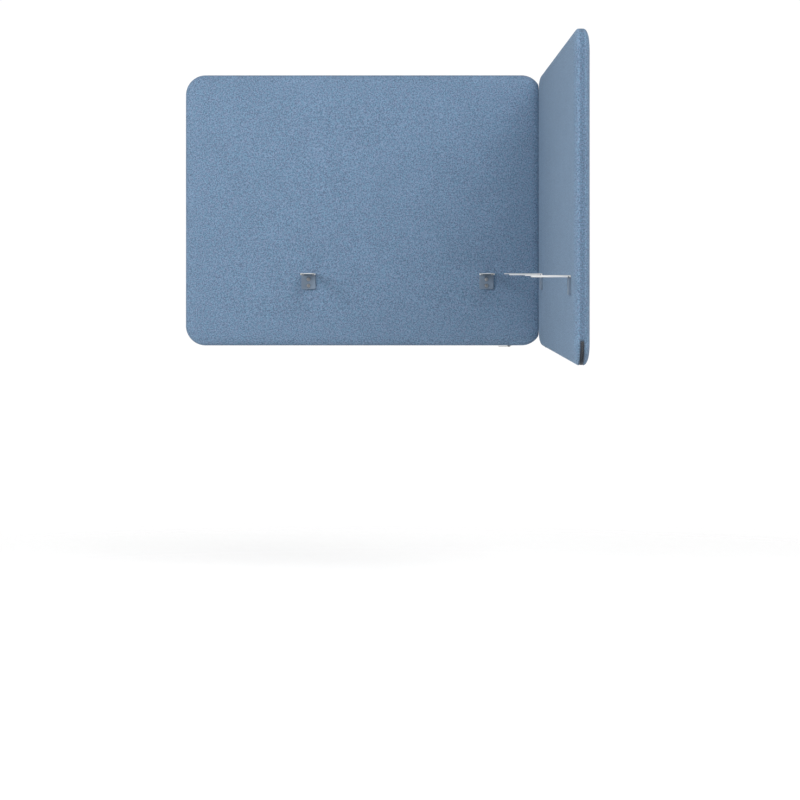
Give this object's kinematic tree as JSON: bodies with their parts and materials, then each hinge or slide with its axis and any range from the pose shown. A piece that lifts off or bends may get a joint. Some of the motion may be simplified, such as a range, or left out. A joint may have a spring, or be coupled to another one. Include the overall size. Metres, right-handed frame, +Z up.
{
  "type": "desk privacy panel",
  "caption": "L-shaped set of felt-covered desk privacy screens with rounded corners, zip-off covers and sliding under-desk brackets, shielding a desk's rear edge and one end.",
  "frame": {"origin": "under the middle of the set's plan box, at the height of the screens' bottom edges", "axes": "+X towards the rear screen, +Y along the desk to the end that carries the side screen, +Z up; the side screen stands across the +Y end and meets the rear screen at +X, +Y"},
  "size_m": [1.029, 1.6, 0.7644],
  "materials": {
    "felt": "matte",
    "foam": "matte",
    "frame_wood": "matte",
    "fibre_board": "matte",
    "insert_brass": "satin",
    "spacer_plastic": "matte",
    "zip_tape": "matte",
    "zip_coil": "satin",
    "zip_metal": "satin",
    "shoe_grey": "satin",
    "arm_white": "satin",
    "bolt_steel": "satin",
    "link_steel": "satin"
  },
  "bodies": {
    "screens": {"corner_keyhole_plates": "link_steel", "corner_link_studs": "link_steel", "rear_acoustic_infill": "fibre_board", "rear_board_frame": "frame_wood", "rear_bracket_bolts": "bolt_steel", "rear_cover": "felt", "rear_edge_foam": "foam", "rear_far_shoe": "shoe_grey", "rear_foam_inner": "foam", "rear_foam_outer": "foam", "rear_near_shoe": "shoe_grey", "rear_set_screws": "bolt_steel", "rear_spacers": "spacer_plastic", "rear_threaded_inserts": "insert_brass", "rear_zip_coil": "zip_coil", "rear_zip_stops": "zip_metal", "rear_zip_tape_inner": "zip_tape", "rear_zip_tape_outer": "zip_tape", "side_acoustic_infill": "fibre_board", "side_back_shoe": "shoe_grey", "side_board_frame": "frame_wood", "side_bracket_bolts": "bolt_steel", "side_cover": "felt", "side_edge_foam": "foam", "side_foam_inner": "foam", "side_foam_outer": "foam", "side_front_shoe": "shoe_grey", "side_set_screws": "bolt_steel", "side_spacers": "spacer_plastic", "side_threaded_inserts": "insert_brass", "side_zip_coil": "zip_coil", "side_zip_stops": "zip_metal", "side_zip_tape_inner": "zip_tape", "side_zip_tape_outer": "zip_tape"},
    "rear_near_arm": {"rear_near_arm": "arm_white"},
    "rear_far_arm": {"rear_far_arm": "arm_white"},
    "side_back_arm": {"side_back_arm": "arm_white"},
    "side_front_arm": {"side_front_arm": "arm_white"},
    "rear_zip_slider": {"rear_zip_slider": "zip_metal"},
    "rear_zip_pull": {"rear_zip_pull": "zip_metal"},
    "side_zip_slider": {"side_zip_slider": "zip_metal"},
    "side_zip_pull": {"side_zip_pull": "zip_metal"}
  },
  "joints": [
    {"name": "rear_near_arm_slide", "type": "slide", "parent": "screens", "child": "rear_near_arm", "axis": [-1, 0, 0], "range_m": [0, 0.02]},
    {"name": "rear_far_arm_slide", "type": "slide", "parent": "screens", "child": "rear_far_arm", "axis": [-1, 0, 0], "range_m": [0, 0.02]},
    {"name": "side_back_arm_slide", "type": "slide", "parent": "screens", "child": "side_back_arm", "axis": [0, -1, 0], "range_m": [0, 0.02]},
    {"name": "side_front_arm_slide", "type": "slide", "parent": "screens", "child": "side_front_arm", "axis": [0, -1, 0], "range_m": [0, 0.02]},
    {"name": "rear_zip_slide", "type": "slide", "parent": "screens", "child": "rear_zip_slider", "axis": [0, -1, 0], "range_m": [0, 1.444]},
    {"name": "rear_zip_pull_hinge", "type": "hinge", "parent": "rear_zip_slider", "child": "rear_zip_pull", "pos_m": [0.495, 0.722, -0.0025], "axis": [1, 0, 0], "range_deg": [0, 180]},
    {"name": "side_zip_slide", "type": "slide", "parent": "screens", "child": "side_zip_slider", "axis": [-1, 0, 0], "range_m": [0, 0.832]},
    {"name": "side_zip_pull_hinge", "type": "hinge", "parent": "side_zip_slider", "child": "side_zip_pull", "pos_m": [0.3945, 0.7815, -0.0025], "axis": [0, -1, 0], "range_deg": [0, 180]}
  ]
}
